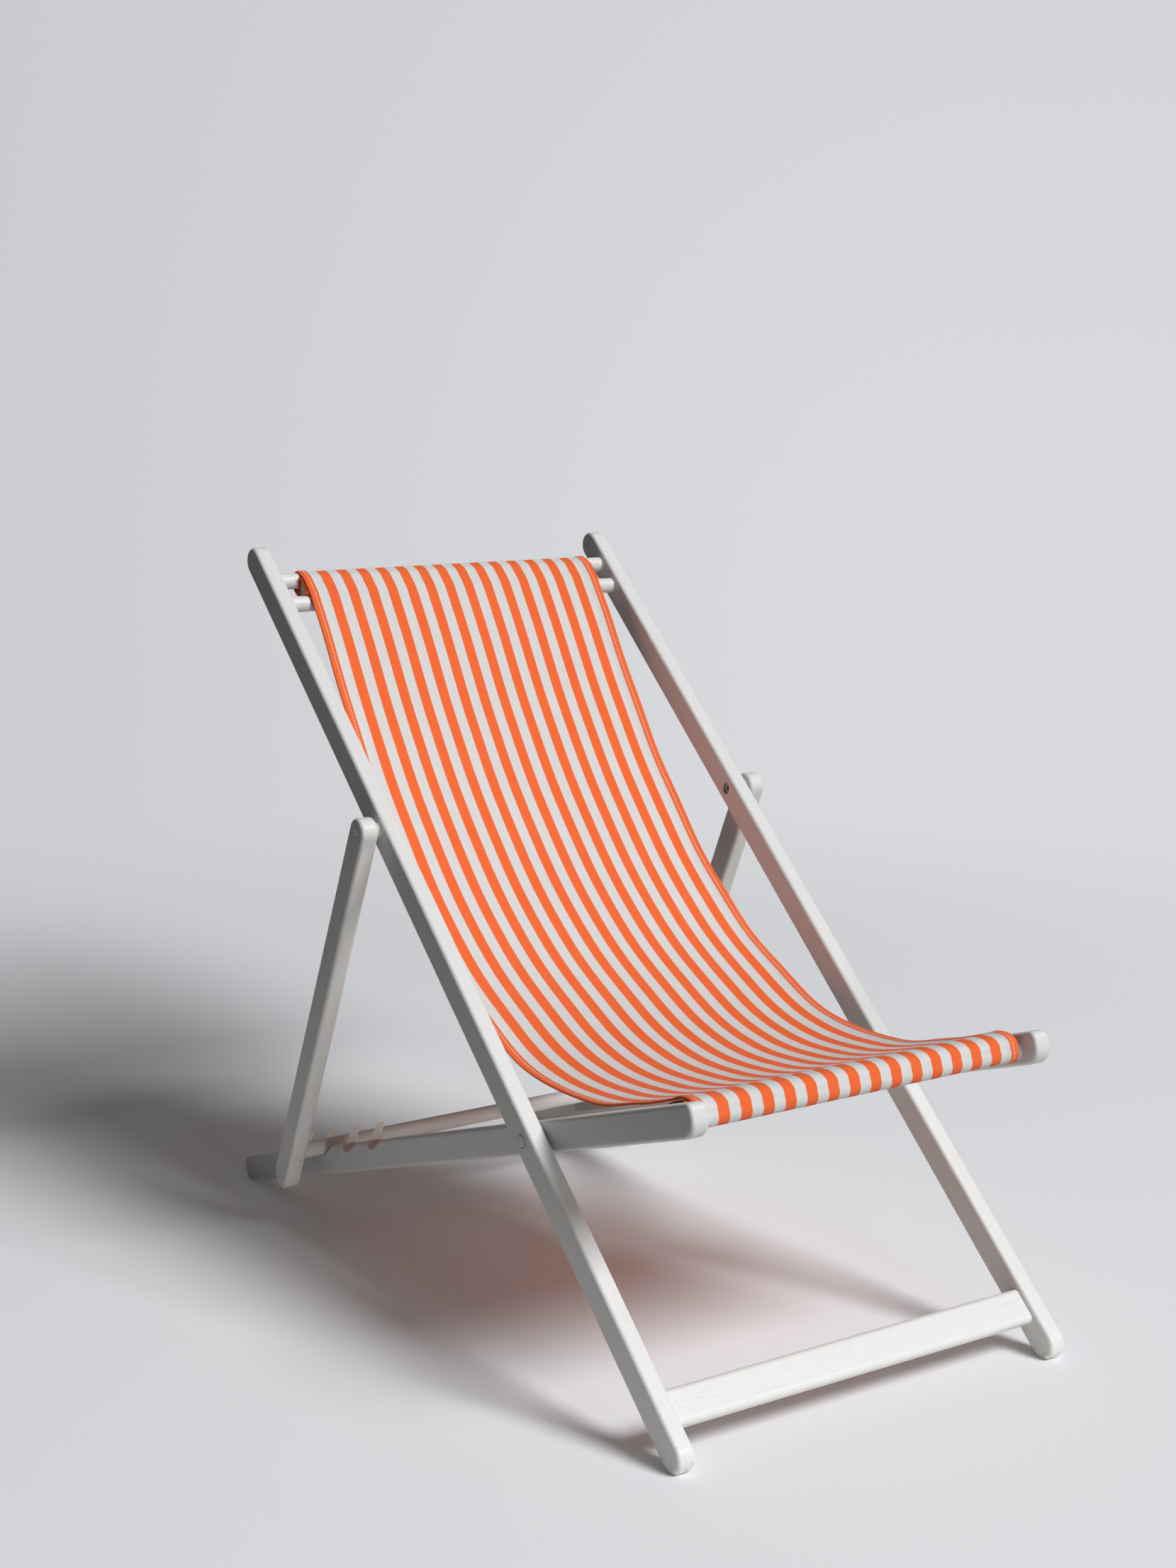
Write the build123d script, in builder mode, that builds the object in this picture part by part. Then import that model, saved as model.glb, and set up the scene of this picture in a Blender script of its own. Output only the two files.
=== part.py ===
from build123d import *
import os
from math import acos, asin, atan2, cos, degrees, hypot, pi, radians, sin, tan

# Folding wooden deck chair with a canvas sling. Sizes are in millimetres.
# X is the width, the sitter faces -Y, Z is up and the floor is Z = 0.
# Three frames share two pivot axes: the main frame carries the back, the seat
# frame turns inside it, and the strut frame props the back from outside.

# Main frame, measured along the rail from the seat pivot
MAIN_UP = 886.5
MAIN_DOWN = 394.0
MAIN_DEPTH = 35.0
MAIN_THICK = 22.0
MAIN_OUT = 265.0
STRUT_PIVOT = 432.6
TOP_DOWELS = (832.4, 793.2)
SLAT_AT = -330.5
SLAT_WIDE = 41.0
SLAT_THICK = 16.5
SLAT_SETBACK = 6.0

# Seat frame, measured along the rail from the seat pivot
SEAT_FRONT = 298.0
SEAT_REAR = 812.0
SEAT_DEPTH = 36.0
SEAT_THICK = 22.0
SEAT_GAP = 2.0
FRONT_DOWELS = (264.5, 234.5)
NOTCH_PITCH = 70.0
NOTCH_COUNT = 4
NOTCH_IN_USE = 557.1
DOWEL_LIFT = 18.3

# Strut frame, measured along the leg from the strut pivot
STRUT_DOWEL = 500.0
STRUT_END = 553.0
STRUT_DEPTH = 34.0
STRUT_THICK = 22.0
STRUT_GAP = 6.0

# Common wood sizes
DOWEL_R = 10.0
SOCKET = 14.0
EDGE_R = 4.5
SLAT_EDGE_R = 6.0
END_TOP_R = 9.0
END_BOTTOM_R = 20.0
FOOT_CUT = 1.3

# Notches and hook racks
NOTCH_CLEAR = 0.3
NOTCH_FLAT = 8.0
NOTCH_RAMP = 22.0
RACK_THICK = 3.0
RACK_LOW = -9.0
HOOK_HIGH = 20.0
SCREW_R = 1.8
SCREW_HEAD_R = 3.4
SCREW_LONG = 14.0

# Pivot hardware
BOLT_R = 3.0
BARREL_R = 4.5
RUNNING = 0.05
CLEAR = 0.3
SEAT_HEAD_R = 7.0
SEAT_HEAD_SINK = 1.6
STRUT_HEAD_R = 6.0
STRUT_HEAD_SINK = 1.8
FLANGE_R = 6.6
FLANGE_THICK = 1.5
SEAT_NUT_SINK = 2.2
STRUT_NUT_SINK = 5.0
BRAD_R = 1.2
PIN_R = 4.0
PIN_DEEP = 14.0
PIN_APART = 18.0

# Sling and its battens
SLING_WIDE = 431.0
SLING_THICK = 1.4
WRAP_CLEAR = 0.2
BATTEN_BASE = 27.0
BATTEN_HIGH = 19.5
BATTEN_LONG = 432.0
BATTEN_R = 2.0
SLEEVE_CLEAR = 0.1
# Share of the chord from top to front, and depth below it as a share of its length
SAG = (
    (0.07, 0.034), (0.19, 0.097), (0.34, 0.158), (0.51, 0.197),
    (0.65, 0.197), (0.77, 0.176), (0.88, 0.120), (0.955, 0.052),
)

# Widths across the chair
MAIN_IN = MAIN_OUT - MAIN_THICK
SEAT_OUT = MAIN_IN - SEAT_GAP
SEAT_IN = SEAT_OUT - SEAT_THICK
STRUT_IN = MAIN_OUT + STRUT_GAP
STRUT_OUT = STRUT_IN + STRUT_THICK

# The strut, the two pivots and the notch in use close a triangle, which sets the
# angle between the frames. The pair is then tilted until both ends meet the floor.
notch_reach = hypot(NOTCH_IN_USE, DOWEL_LIFT)
notch_angle = atan2(DOWEL_LIFT, NOTCH_IN_USE)
cos_open = (STRUT_PIVOT**2 + notch_reach**2 - STRUT_DOWEL**2) / (2 * STRUT_PIVOT * notch_reach)
open_angle = acos(cos_open) + notch_angle
foot_u = -MAIN_DOWN + MAIN_DEPTH / 2
foot_r = MAIN_DEPTH / 2
heel_u = SEAT_REAR - END_BOTTOM_R
heel_v = -SEAT_DEPTH / 2 + END_BOTTOM_R
lean_a = foot_u - heel_u * cos(open_angle) - heel_v * sin(open_angle)
lean_b = heel_u * sin(open_angle) - heel_v * cos(open_angle)
lean_c = foot_r - END_BOTTOM_R
main_angle = pi - asin(lean_c / hypot(lean_a, lean_b)) - atan2(lean_b, lean_a)
seat_angle = open_angle - main_angle
pivot_z = foot_r - FOOT_CUT - foot_u * sin(main_angle)
front_y = foot_u * cos(main_angle) - foot_r
toe_y = END_TOP_R + (SEAT_REAR - END_TOP_R) * cos(seat_angle)
toe_y += (SEAT_DEPTH / 2 - END_TOP_R) * sin(seat_angle)
heel_y = heel_u * cos(seat_angle) + heel_v * sin(seat_angle) + END_BOTTOM_R
pivot_y = -(front_y + max(toe_y, heel_y)) / 2

# Working planes: local X runs along the rail, local Y across it, and Z is the chair's X
MAIN = Plane((0, pivot_y, pivot_z), x_dir=(0, cos(main_angle), sin(main_angle)), z_dir=(1, 0, 0))
SEAT = Plane((0, pivot_y, pivot_z), x_dir=(0, cos(seat_angle), -sin(seat_angle)), z_dir=(1, 0, 0))
strut_top = MAIN.from_local_coords(Vector(STRUT_PIVOT, 0, 0))
strut_foot = SEAT.from_local_coords(Vector(NOTCH_IN_USE, DOWEL_LIFT, 0))
STRUT = Plane(strut_top, x_dir=strut_foot - strut_top, z_dir=(1, 0, 0))
SIDE = Plane((0, 0, 0), x_dir=(0, 1, 0), z_dir=(1, 0, 0))

slat_v = MAIN_DEPTH / 2 - SLAT_SETBACK - SLAT_THICK / 2
SLAT_PINS = (SLAT_AT - PIN_APART / 2, SLAT_AT + PIN_APART / 2)
NOTCHES = [NOTCH_IN_USE + NOTCH_PITCH * (1 - i) for i in range(NOTCH_COUNT)]
RACK_ENDS = (NOTCHES[-1] - 24, NOTCHES[0] + 50)
RACK_SCREWS = [(a + b) / 2 + 10 for a, b in zip(NOTCHES, NOTCHES[1:])]

os.makedirs("parts", exist_ok=True)


def save(part, name):
    part.label = name
    export_step(part, f"parts/{name}.step")


def save_pair(part, name):
    """Writes the right-hand piece and its mirror image as two nodes."""
    save(part, name + "_right")
    save(mirror(part, about=Plane.YZ), name + "_left")


def save_set(part, name):
    """Writes the right-hand pieces and their mirror images as one node."""
    save(Compound(children=[*part.solids(), *mirror(part, about=Plane.YZ).solids()]), name)


def rod(plane, at, radius, start, end, mode=Mode.ADD):
    """A round bar or bore across the chair, from one X to another."""
    with BuildSketch(plane.offset(start)) as section:
        with Locations(at):
            Circle(radius)
    extrude(section.sketch, amount=end - start, mode=mode)


# Main rails
with BuildPart() as main_rail:
    with BuildSketch(MAIN.offset(MAIN_IN)):
        with Locations(((MAIN_UP - MAIN_DOWN) / 2, 0)):
            SlotOverall(MAIN_UP + MAIN_DOWN, MAIN_DEPTH)
    extrude(amount=MAIN_THICK)
    fillet(main_rail.faces().filter_by(Axis.X).edges(), EDGE_R)
    split(bisect_by=Plane.XY, keep=Keep.TOP)
    for u in TOP_DOWELS:
        rod(MAIN, (u, 0), DOWEL_R, MAIN_IN, MAIN_IN + SOCKET, Mode.SUBTRACT)
    rod(MAIN, (STRUT_PIVOT, 0), BARREL_R, MAIN_IN, MAIN_OUT, Mode.SUBTRACT)
    rod(MAIN, (STRUT_PIVOT, 0), FLANGE_R + 1, MAIN_IN, MAIN_IN + STRUT_NUT_SINK, Mode.SUBTRACT)
    rod(MAIN, (0, 0), BARREL_R, MAIN_IN, MAIN_OUT - 7, Mode.SUBTRACT)
    rod(MAIN, (0, 0), BOLT_R, MAIN_IN, MAIN_OUT, Mode.SUBTRACT)
    rod(MAIN, (0, 0), SEAT_HEAD_R + 0.7, MAIN_OUT - SEAT_HEAD_SINK, MAIN_OUT, Mode.SUBTRACT)
    for u in SLAT_PINS:
        rod(MAIN, (u, slat_v), PIN_R, MAIN_IN, MAIN_IN + PIN_DEEP, Mode.SUBTRACT)
save_pair(main_rail.part, "main_rail")

# Dowels across the top of the main frame
for u, name in zip(TOP_DOWELS, ("top_dowel_upper", "top_dowel_lower")):
    with BuildPart() as dowel:
        rod(MAIN, (u, 0), DOWEL_R, -MAIN_IN - SOCKET, MAIN_IN + SOCKET)
    save(dowel.part, name)

# Slat between the main rails near the floor, and the hidden pins that hold it
with BuildPart() as slat:
    with BuildSketch(MAIN.offset(-MAIN_IN)):
        with Locations((SLAT_AT, slat_v)):
            RectangleRounded(SLAT_WIDE, SLAT_THICK, SLAT_EDGE_R)
    extrude(amount=2 * MAIN_IN)
    for u in SLAT_PINS:
        rod(MAIN, (u, slat_v), PIN_R, MAIN_IN - PIN_DEEP, MAIN_IN, Mode.SUBTRACT)
        rod(MAIN, (u, slat_v), PIN_R, -MAIN_IN, -MAIN_IN + PIN_DEEP, Mode.SUBTRACT)
save(slat.part, "front_slat")

with BuildPart() as slat_pin:
    for u in SLAT_PINS:
        rod(MAIN, (u, slat_v), PIN_R, MAIN_IN - PIN_DEEP, MAIN_IN + PIN_DEEP)
save_set(slat_pin.part, "slat_pins")

# Seat pivot: a bolt from outside screws into a sleeve nut that the seat rail turns on
with BuildPart() as seat_bolt:
    rod(MAIN, (0, 0), BOLT_R, SEAT_IN + 8, MAIN_OUT - SEAT_HEAD_SINK)
    rod(MAIN, (0, 0), SEAT_HEAD_R, MAIN_OUT - SEAT_HEAD_SINK, MAIN_OUT + 1.2)
    fillet(seat_bolt.faces().sort_by(Axis.X)[-1].edges(), 1.4)
save_set(seat_bolt.part, "seat_pivot_bolts")

with BuildPart() as seat_nut:
    nut_x = SEAT_IN + SEAT_NUT_SINK - FLANGE_THICK - CLEAR
    rod(MAIN, (0, 0), FLANGE_R, nut_x, nut_x + FLANGE_THICK)
    rod(MAIN, (0, 0), BARREL_R, nut_x + FLANGE_THICK, MAIN_OUT - 7)
    rod(MAIN, (0, 0), BOLT_R, SEAT_IN + 8, MAIN_OUT - 7, Mode.SUBTRACT)
    rod(MAIN, (0, 0), 2.5, nut_x, nut_x + 3, Mode.SUBTRACT)
save_set(seat_nut.part, "seat_pivot_nuts")

with BuildPart() as seat_spacer:
    rod(MAIN, (0, 0), 9, SEAT_OUT + 0.2, MAIN_IN)
    rod(MAIN, (0, 0), BARREL_R, SEAT_OUT, MAIN_IN, Mode.SUBTRACT)
save_set(seat_spacer.part, "seat_pivot_spacers")

# Strut pivot: the same arrangement, with the leg turning on the sleeve nut
with BuildPart() as strut_bolt:
    head_x = STRUT_OUT - STRUT_HEAD_SINK + CLEAR
    rod(MAIN, (STRUT_PIVOT, 0), BOLT_R, MAIN_IN + 12, head_x)
    rod(MAIN, (STRUT_PIVOT, 0), STRUT_HEAD_R, head_x, head_x + 2.4)
    fillet(strut_bolt.faces().sort_by(Axis.X)[-1].edges(), 1.2)
save_set(strut_bolt.part, "strut_pivot_bolts")

with BuildPart() as strut_nut:
    nut_x = MAIN_IN + STRUT_NUT_SINK
    rod(MAIN, (STRUT_PIVOT, 0), FLANGE_R, nut_x - FLANGE_THICK, nut_x)
    rod(MAIN, (STRUT_PIVOT, 0), BARREL_R, nut_x, head_x - 2)
    rod(MAIN, (STRUT_PIVOT, 0), BOLT_R, MAIN_IN + 12, head_x - 2, Mode.SUBTRACT)
    rod(MAIN, (STRUT_PIVOT, 0), 2.5, nut_x - FLANGE_THICK, nut_x + 2, Mode.SUBTRACT)
save_set(strut_nut.part, "strut_pivot_nuts")

with BuildPart() as strut_spacer:
    rod(MAIN, (STRUT_PIVOT, 0), 10, MAIN_OUT, STRUT_IN - 0.2)
    rod(MAIN, (STRUT_PIVOT, 0), BARREL_R, MAIN_OUT, STRUT_IN, Mode.SUBTRACT)
save_set(strut_spacer.part, "strut_pivot_spacers")

# One notch, drawn about the centre of the dowel that lies in it: an upright wall at
# the back, a round bottom, and a long ramp up to the front
notch_r = DOWEL_R + NOTCH_CLEAR
ramp_run = (notch_r + 6) / tan(radians(NOTCH_RAMP))
with BuildSketch() as notch:
    with BuildLine():
        wall = Line((notch_r, 6), (notch_r, 0))
        bowl = ThreePointArc(wall @ 1, (notch_r * cos(pi / 4), -notch_r * sin(pi / 4)), (0, -notch_r))
        Polyline(bowl @ 1, (-NOTCH_FLAT, -notch_r), (-NOTCH_FLAT - ramp_run, 6), wall @ 0)
    make_face()

# One hook of the rack, drawn about the same centre: it stands behind the dowel, with
# a short beak in front and a long slope at the back
with BuildSketch() as hook:
    with BuildLine():
        Polyline(
            (notch_r, -5),
            (notch_r, 10.5),
            (2.6, 14.7),
            (1.0, HOOK_HIGH - 1),
            (13, HOOK_HIGH),
            (45, -2),
            (45, -5),
            close=True,
        )
    make_face()
    beak = hook.vertices().filter_by_position(Axis.Y, 14, HOOK_HIGH - 0.5)
    fillet(beak, 1.2)
    fillet(hook.vertices().sort_by_distance((notch_r, 10.5))[0], 4)
    fillet(hook.vertices().sort_by_distance((13, HOOK_HIGH))[0], 5)

# Seat rails, notched along the top edge
with BuildPart() as seat_rail:
    with BuildSketch(SEAT.offset(SEAT_IN)) as outline:
        with Locations(((SEAT_REAR - SEAT_FRONT) / 2, 0)):
            Rectangle(SEAT_REAR + SEAT_FRONT, SEAT_DEPTH)
        fillet(outline.vertices().group_by(Axis.Y)[-1], END_TOP_R)
        fillet(outline.vertices().group_by(Axis.Y)[0], END_BOTTOM_R)
    extrude(amount=SEAT_THICK)
    fillet(seat_rail.faces().filter_by(Axis.X).edges(), EDGE_R)
    split(bisect_by=Plane.XY, keep=Keep.TOP)
    with BuildSketch(SEAT.offset(SEAT_IN)):
        with Locations(*[(u, DOWEL_LIFT) for u in NOTCHES]):
            add(notch.sketch)
    extrude(amount=SEAT_THICK, mode=Mode.SUBTRACT)
    for u in FRONT_DOWELS:
        rod(SEAT, (-u, 0), DOWEL_R, SEAT_IN, SEAT_IN + SOCKET, Mode.SUBTRACT)
    rod(SEAT, (0, 0), BARREL_R + RUNNING, SEAT_IN, SEAT_OUT, Mode.SUBTRACT)
    rod(SEAT, (0, 0), FLANGE_R + 1, SEAT_IN, SEAT_IN + SEAT_NUT_SINK, Mode.SUBTRACT)
    for u in RACK_SCREWS:
        rod(SEAT, (u, 0), SCREW_R, SEAT_IN, SEAT_IN + SCREW_LONG, Mode.SUBTRACT)
save_pair(seat_rail.part, "seat_rail")

# Dowels across the front of the seat frame
for u, name in zip(FRONT_DOWELS, ("front_dowel_outer", "front_dowel_inner")):
    with BuildPart() as dowel:
        rod(SEAT, (-u, 0), DOWEL_R, -SEAT_IN - SOCKET, SEAT_IN + SOCKET)
    save(dowel.part, name)

# Nylon hook racks on the inner faces of the seat rails, and their screws
with BuildPart() as rack:
    with BuildSketch(SEAT.offset(SEAT_IN - RACK_THICK)):
        with Locations((sum(RACK_ENDS) / 2, (RACK_LOW + SEAT_DEPTH / 2 - 1) / 2)):
            RectangleRounded(RACK_ENDS[1] - RACK_ENDS[0], SEAT_DEPTH / 2 - 1 - RACK_LOW, 5)
        with Locations(*[(u, DOWEL_LIFT) for u in NOTCHES]):
            add(notch.sketch, mode=Mode.SUBTRACT)
        with Locations(*[(u, DOWEL_LIFT) for u in NOTCHES]):
            add(hook.sketch)
    extrude(amount=RACK_THICK)
    for u in RACK_SCREWS:
        rod(SEAT, (u, 0), SCREW_R, SEAT_IN - RACK_THICK, SEAT_IN, Mode.SUBTRACT)
save_pair(rack.part, "hook_rack")

with BuildPart() as rack_screws:
    for u in RACK_SCREWS:
        rod(SEAT, (u, 0), SCREW_R, SEAT_IN - RACK_THICK, SEAT_IN + SCREW_LONG)
        rod(SEAT, (u, 0), SCREW_HEAD_R, SEAT_IN - RACK_THICK - 1.6, SEAT_IN - RACK_THICK)
save_set(rack_screws.part, "rack_screws")

# Strut legs, their dowel and the brads that hold it
brad_plane = Plane(STRUT.from_local_coords(Vector(STRUT_DOWEL, -STRUT_DEPTH / 2, STRUT_IN + SOCKET / 2)),
                   x_dir=STRUT.x_dir, z_dir=STRUT.y_dir)
BRAD_LONG = STRUT_DEPTH / 2 + 6
with BuildPart() as strut_leg:
    with BuildSketch(STRUT.offset(STRUT_IN)):
        with Locations(((STRUT_END - STRUT_DEPTH / 2) / 2, 0)):
            SlotOverall(STRUT_END + STRUT_DEPTH / 2, STRUT_DEPTH)
    extrude(amount=STRUT_THICK)
    fillet(strut_leg.faces().filter_by(Axis.X).edges(), EDGE_R)
    rod(STRUT, (0, 0), BARREL_R + RUNNING, STRUT_IN, STRUT_OUT, Mode.SUBTRACT)
    rod(STRUT, (0, 0), STRUT_HEAD_R + 0.7, STRUT_OUT - STRUT_HEAD_SINK, STRUT_OUT, Mode.SUBTRACT)
    rod(STRUT, (STRUT_DOWEL, 0), DOWEL_R, STRUT_IN, STRUT_IN + SOCKET, Mode.SUBTRACT)
    with BuildSketch(brad_plane):
        Circle(BRAD_R)
    extrude(amount=BRAD_LONG, mode=Mode.SUBTRACT)
save_pair(strut_leg.part, "strut_leg")

with BuildPart() as strut_brad:
    with BuildSketch(brad_plane):
        Circle(BRAD_R)
    extrude(amount=BRAD_LONG)
save_set(strut_brad.part, "strut_brads")

with BuildPart() as strut_dowel:
    rod(STRUT, (STRUT_DOWEL, 0), DOWEL_R, -STRUT_IN - SOCKET, STRUT_IN + SOCKET)
    add(strut_brad.part, mode=Mode.SUBTRACT)
    add(mirror(strut_brad.part, about=Plane.YZ), mode=Mode.SUBTRACT)
save(strut_dowel.part, "strut_dowel")

# Each end of the sling is a sleeve round a wedge-shaped batten, which is drawn into
# the valley between a pair of dowels. The ends are drawn along p, from the inner
# dowel to the outer one, and q, towards the sitter.
half_tip = atan2(BATTEN_BASE / 2, BATTEN_HIGH)
wrap_r = DOWEL_R + WRAP_CLEAR + SLING_THICK / 2
sleeve = SLING_THICK + SLEEVE_CLEAR


class End:
    """Geometry of one end of the sling in the chair's side view."""

    def __init__(self, plane, sign, dowels, leave):
        self.plane = plane
        self.sign = sign
        self.outer = dowels[0]
        self.middle = (dowels[0] + dowels[1]) / 2
        self.leave = radians(leave)
        spread = (dowels[0] - dowels[1]) / 2
        stand_off = DOWEL_R + WRAP_CLEAR + sleeve
        self.tip = (stand_off - spread * cos(half_tip)) / sin(half_tip)
        self.crest = self.tip + BATTEN_HIGH + sleeve + SLING_THICK / 2 + 0.5
        self.apex = self.tip + BATTEN_R * (1 / sin(half_tip) - 1) - sleeve + SLING_THICK / 4
        reach = hypot(self.outer - self.middle, self.apex)
        turn = atan2(-self.apex, self.outer - self.middle) - asin(wrap_r / reach)
        self.start = turn - pi / 2

    def at(self, p, q):
        point = self.plane.from_local_coords(Vector(self.sign * p, q, 0))
        return Vector(point.Y, point.Z)

    def heading(self, p, q):
        return self.at(p, q) - self.at(0, 0)

    def rim(self, angle, radius):
        return self.at(self.outer + radius * cos(angle), radius * sin(angle))

    def wedge(self, grow):
        """The batten's rounded triangle, grown evenly by a set amount."""
        tip = self.tip - grow / sin(half_tip)
        high = BATTEN_HIGH + grow + grow / sin(half_tip)
        half = high * tan(half_tip)
        with BuildSketch() as triangle:
            with BuildLine():
                Polyline(
                    self.at(self.middle, tip),
                    self.at(self.middle + half, tip + high),
                    self.at(self.middle - half, tip + high),
                    close=True,
                )
            make_face()
            fillet(triangle.vertices(), BATTEN_R + grow)
        return triangle.sketch

    def tail(self, shift):
        """The sheet's run from the sleeve round the outer dowel, moved outwards by shift."""
        radius = wrap_r + shift
        first = self.rim(self.start, radius)
        back = self.at(self.middle, self.apex) + first - self.rim(self.start, wrap_r)
        middle = self.rim((self.start + self.leave) / 2, radius)
        return back, first, middle, self.rim(self.leave, radius)


top = End(MAIN, 1, TOP_DOWELS, 78)
front = End(SEAT, -1, FRONT_DOWELS, 10)

sag_from = top.at(top.middle - BATTEN_BASE / 2, top.crest)
sag_to = front.at(front.middle - BATTEN_BASE / 2 - 4, front.crest)
chord = sag_to - sag_from
drop = Vector(-chord.Y, chord.X)
sag_points = [sag_from + chord * t + drop * d for t, d in SAG]
sag_out = sag_points[0] - sag_from
sag_in = front.heading(1, 0.12)
top_shoulder = Spline(
    top.rim(top.leave, wrap_r),
    top.at(top.middle + BATTEN_BASE / 3, top.crest),
    sag_from,
    tangents=(top.heading(-sin(top.leave), cos(top.leave)), sag_out),
)
hang = Spline(sag_from, *sag_points, sag_to, tangents=(sag_out, sag_in))
front_shoulder = Spline(
    sag_to,
    front.at(front.middle + BATTEN_BASE / 4, front.crest + 0.6),
    front.rim(radians(52), wrap_r + 4.5),
    front.rim(front.leave, wrap_r),
    tangents=(sag_in, front.heading(sin(front.leave), -cos(front.leave))),
)


def beside(curve, shift):
    """A run of the sheet's outline, moved out of its middle by shift."""
    count = 48
    points = []
    for i in range(count + 1):
        way = curve % (i / count)
        points.append(curve @ (i / count) + Vector(way.Y, -way.X) * shift)
    return Spline(*points, tangents=(curve % 0, curve % 1))


with BuildPart() as sling:
    with BuildSketch(SIDE.offset(-SLING_WIDE / 2)) as sheet:
        with BuildLine():
            ends = []
            for shift in (SLING_THICK / 2, -SLING_THICK / 2):
                for end in (top, front):
                    back, first, middle, last = end.tail(shift)
                    Line(back, first)
                    ThreePointArc(first, middle, last)
                    ends.append(back)
                for curve in (top_shoulder, hang, front_shoulder):
                    beside(curve, shift)
            Line(ends[0], ends[2])
            Line(ends[1], ends[3])
        make_face()
        for end in (top, front):
            add(end.wedge(sleeve))
            add(end.wedge(SLEEVE_CLEAR), mode=Mode.SUBTRACT)
    extrude(amount=SLING_WIDE)
save(sling.part, "sling")

for end, name in ((top, "top_batten"), (front, "front_batten")):
    with BuildPart() as batten:
        with BuildSketch(SIDE.offset(-BATTEN_LONG / 2)):
            add(end.wedge(0))
        extrude(amount=BATTEN_LONG)
    save(batten.part, name)
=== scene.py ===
from math import asin, atan2, cos, exp, hypot, pi, radians, sin, tan

import bmesh
import bpy
from mathutils import Matrix, Vector


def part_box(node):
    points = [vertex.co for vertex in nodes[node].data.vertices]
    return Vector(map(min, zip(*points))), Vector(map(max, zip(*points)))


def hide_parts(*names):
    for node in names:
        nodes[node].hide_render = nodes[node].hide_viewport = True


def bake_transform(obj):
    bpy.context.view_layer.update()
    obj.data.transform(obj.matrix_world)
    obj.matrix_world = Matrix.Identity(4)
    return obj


# A folding deck chair: a white painted wooden frame with a striped canvas sling.
# Lengths are in metres. The sitter faces -Y and Z is up.

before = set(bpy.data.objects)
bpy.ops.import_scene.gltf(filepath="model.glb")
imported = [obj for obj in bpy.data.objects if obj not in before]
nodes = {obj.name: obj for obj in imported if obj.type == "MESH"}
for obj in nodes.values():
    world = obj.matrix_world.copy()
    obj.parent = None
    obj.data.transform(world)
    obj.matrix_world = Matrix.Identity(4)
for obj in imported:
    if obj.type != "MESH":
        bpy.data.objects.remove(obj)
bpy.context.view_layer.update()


def centre(node):
    """The middle of a CAD node's box."""
    low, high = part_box(node)
    return (low + high) / 2


# Where the frame holds the sling
DOWEL_R = 0.010
TOP_OUTER = centre("top_dowel_upper")
TOP_INNER = centre("top_dowel_lower")
FRONT_OUTER = centre("front_dowel_outer")
FRONT_INNER = centre("front_dowel_inner")

# The directions that the wood's grain follows, as turns about X from the Y axis
main_run = TOP_OUTER - TOP_INNER
MAIN_TILT = atan2(main_run.z, main_run.y)
seat_run = FRONT_INNER - FRONT_OUTER
SEAT_TILT = atan2(seat_run.z, seat_run.y)
strut_run = centre("strut_dowel") - centre("strut_pivot_bolts")
STRUT_TILT = atan2(strut_run.z, strut_run.y)

# The sling's canvas and its woven stripes
CLOTH_THICK = 0.0013
CLOTH_HALF = 0.2155
STRIPE_WIDE = 0.0141
STRIPES = 29
THREAD_PITCH = 0.0009
# The folded hem: its height as a share in the sleeves, the run over which it rises from them,
# the run over which it falls to the plain cloth, and the radius of its fold
HEM_WIDE = 0.0110
HEM_RISE = 0.0012
HEM_TIGHT = 0.15
HEM_EASE = 0.012
HEM_FALL = 0.0016
FOLD_R = 0.0006
# The cloth's middle layer round a dowel
CLOTH_GAP = 0.0002
WRAP_STAND = 0.0007
WRAP_R = DOWEL_R + CLOTH_GAP + WRAP_STAND
# The battens and the sleeves round them
BATTEN_BASE = 0.027
BATTEN_HIGH = 0.0195
BATTEN_R = 0.002
SLEEVE = 0.0015
SLEEVE_MIDDLE = 0.0008
# Where the loop round a batten starts and ends beside its tip, and the lift of the seam there
SEAM_FIRST = 0.0042
SEAM_LAST = 0.0062
SEAM_LIFT = 0.00035
# The sheet's stand over the battens' faces and its crease where it starts to hang
CREST_RISE = 0.0012
CREST_ROUND = 0.0001
CREST_EDGE = 0.0005
CREASE = 0.0025
FRONT_CREST_ROUND = 0.0006
FRONT_ROLL_OUT = 0.0045
FRONT_SET_BACK = 0.004
# How far the slack cloth stands off its smooth hanging line
BELLY = 0.0025
PUCKER_TOP = 0.0007
PUCKER_FRONT = 0.0011
ROLLING = 0.0009
HEM_WAVE = 0.0010
# How far the slack cloth has slid to one side of the chair, in its middle and at its front
SLIDE_MIDDLE = 0.0075
SLIDE_FRONT = 0.003
# Share of the way from the top batten to the front one, and depth below the straight line
# between them as a share of its length
SAG = (
    (0.07, 0.034), (0.19, 0.097), (0.34, 0.158), (0.51, 0.197),
    (0.65, 0.197), (0.77, 0.176), (0.88, 0.120), (0.955, 0.052),
)

# Stitches
STITCH_LONG = 0.0047
STITCH_PITCH = 0.0050
STITCH_R = 0.00055
STITCH_IN = 0.62 * HEM_WIDE
STITCH_SUNK = 0.7
STITCH_CLEAR = 0.02
SEAM_IN = 0.001

# Camera at the photograph's viewing angle
CAMERA_AT = (-1.53187, -2.31579, 1.08591)
CAMERA_TURN = (80.117, 0.177, -33.134)
CAMERA_LENS = 53.81


def tone(red, green, blue):
    """A colour as it shows on screen, from 0 to 255, as the shader's linear colour."""
    parts = [c / 255 for c in (red, green, blue)]
    linear = [c / 12.92 if c <= 0.04045 else ((c + 0.055) / 1.055) ** 2.4 for c in parts]
    return (*linear, 1.0)


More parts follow.
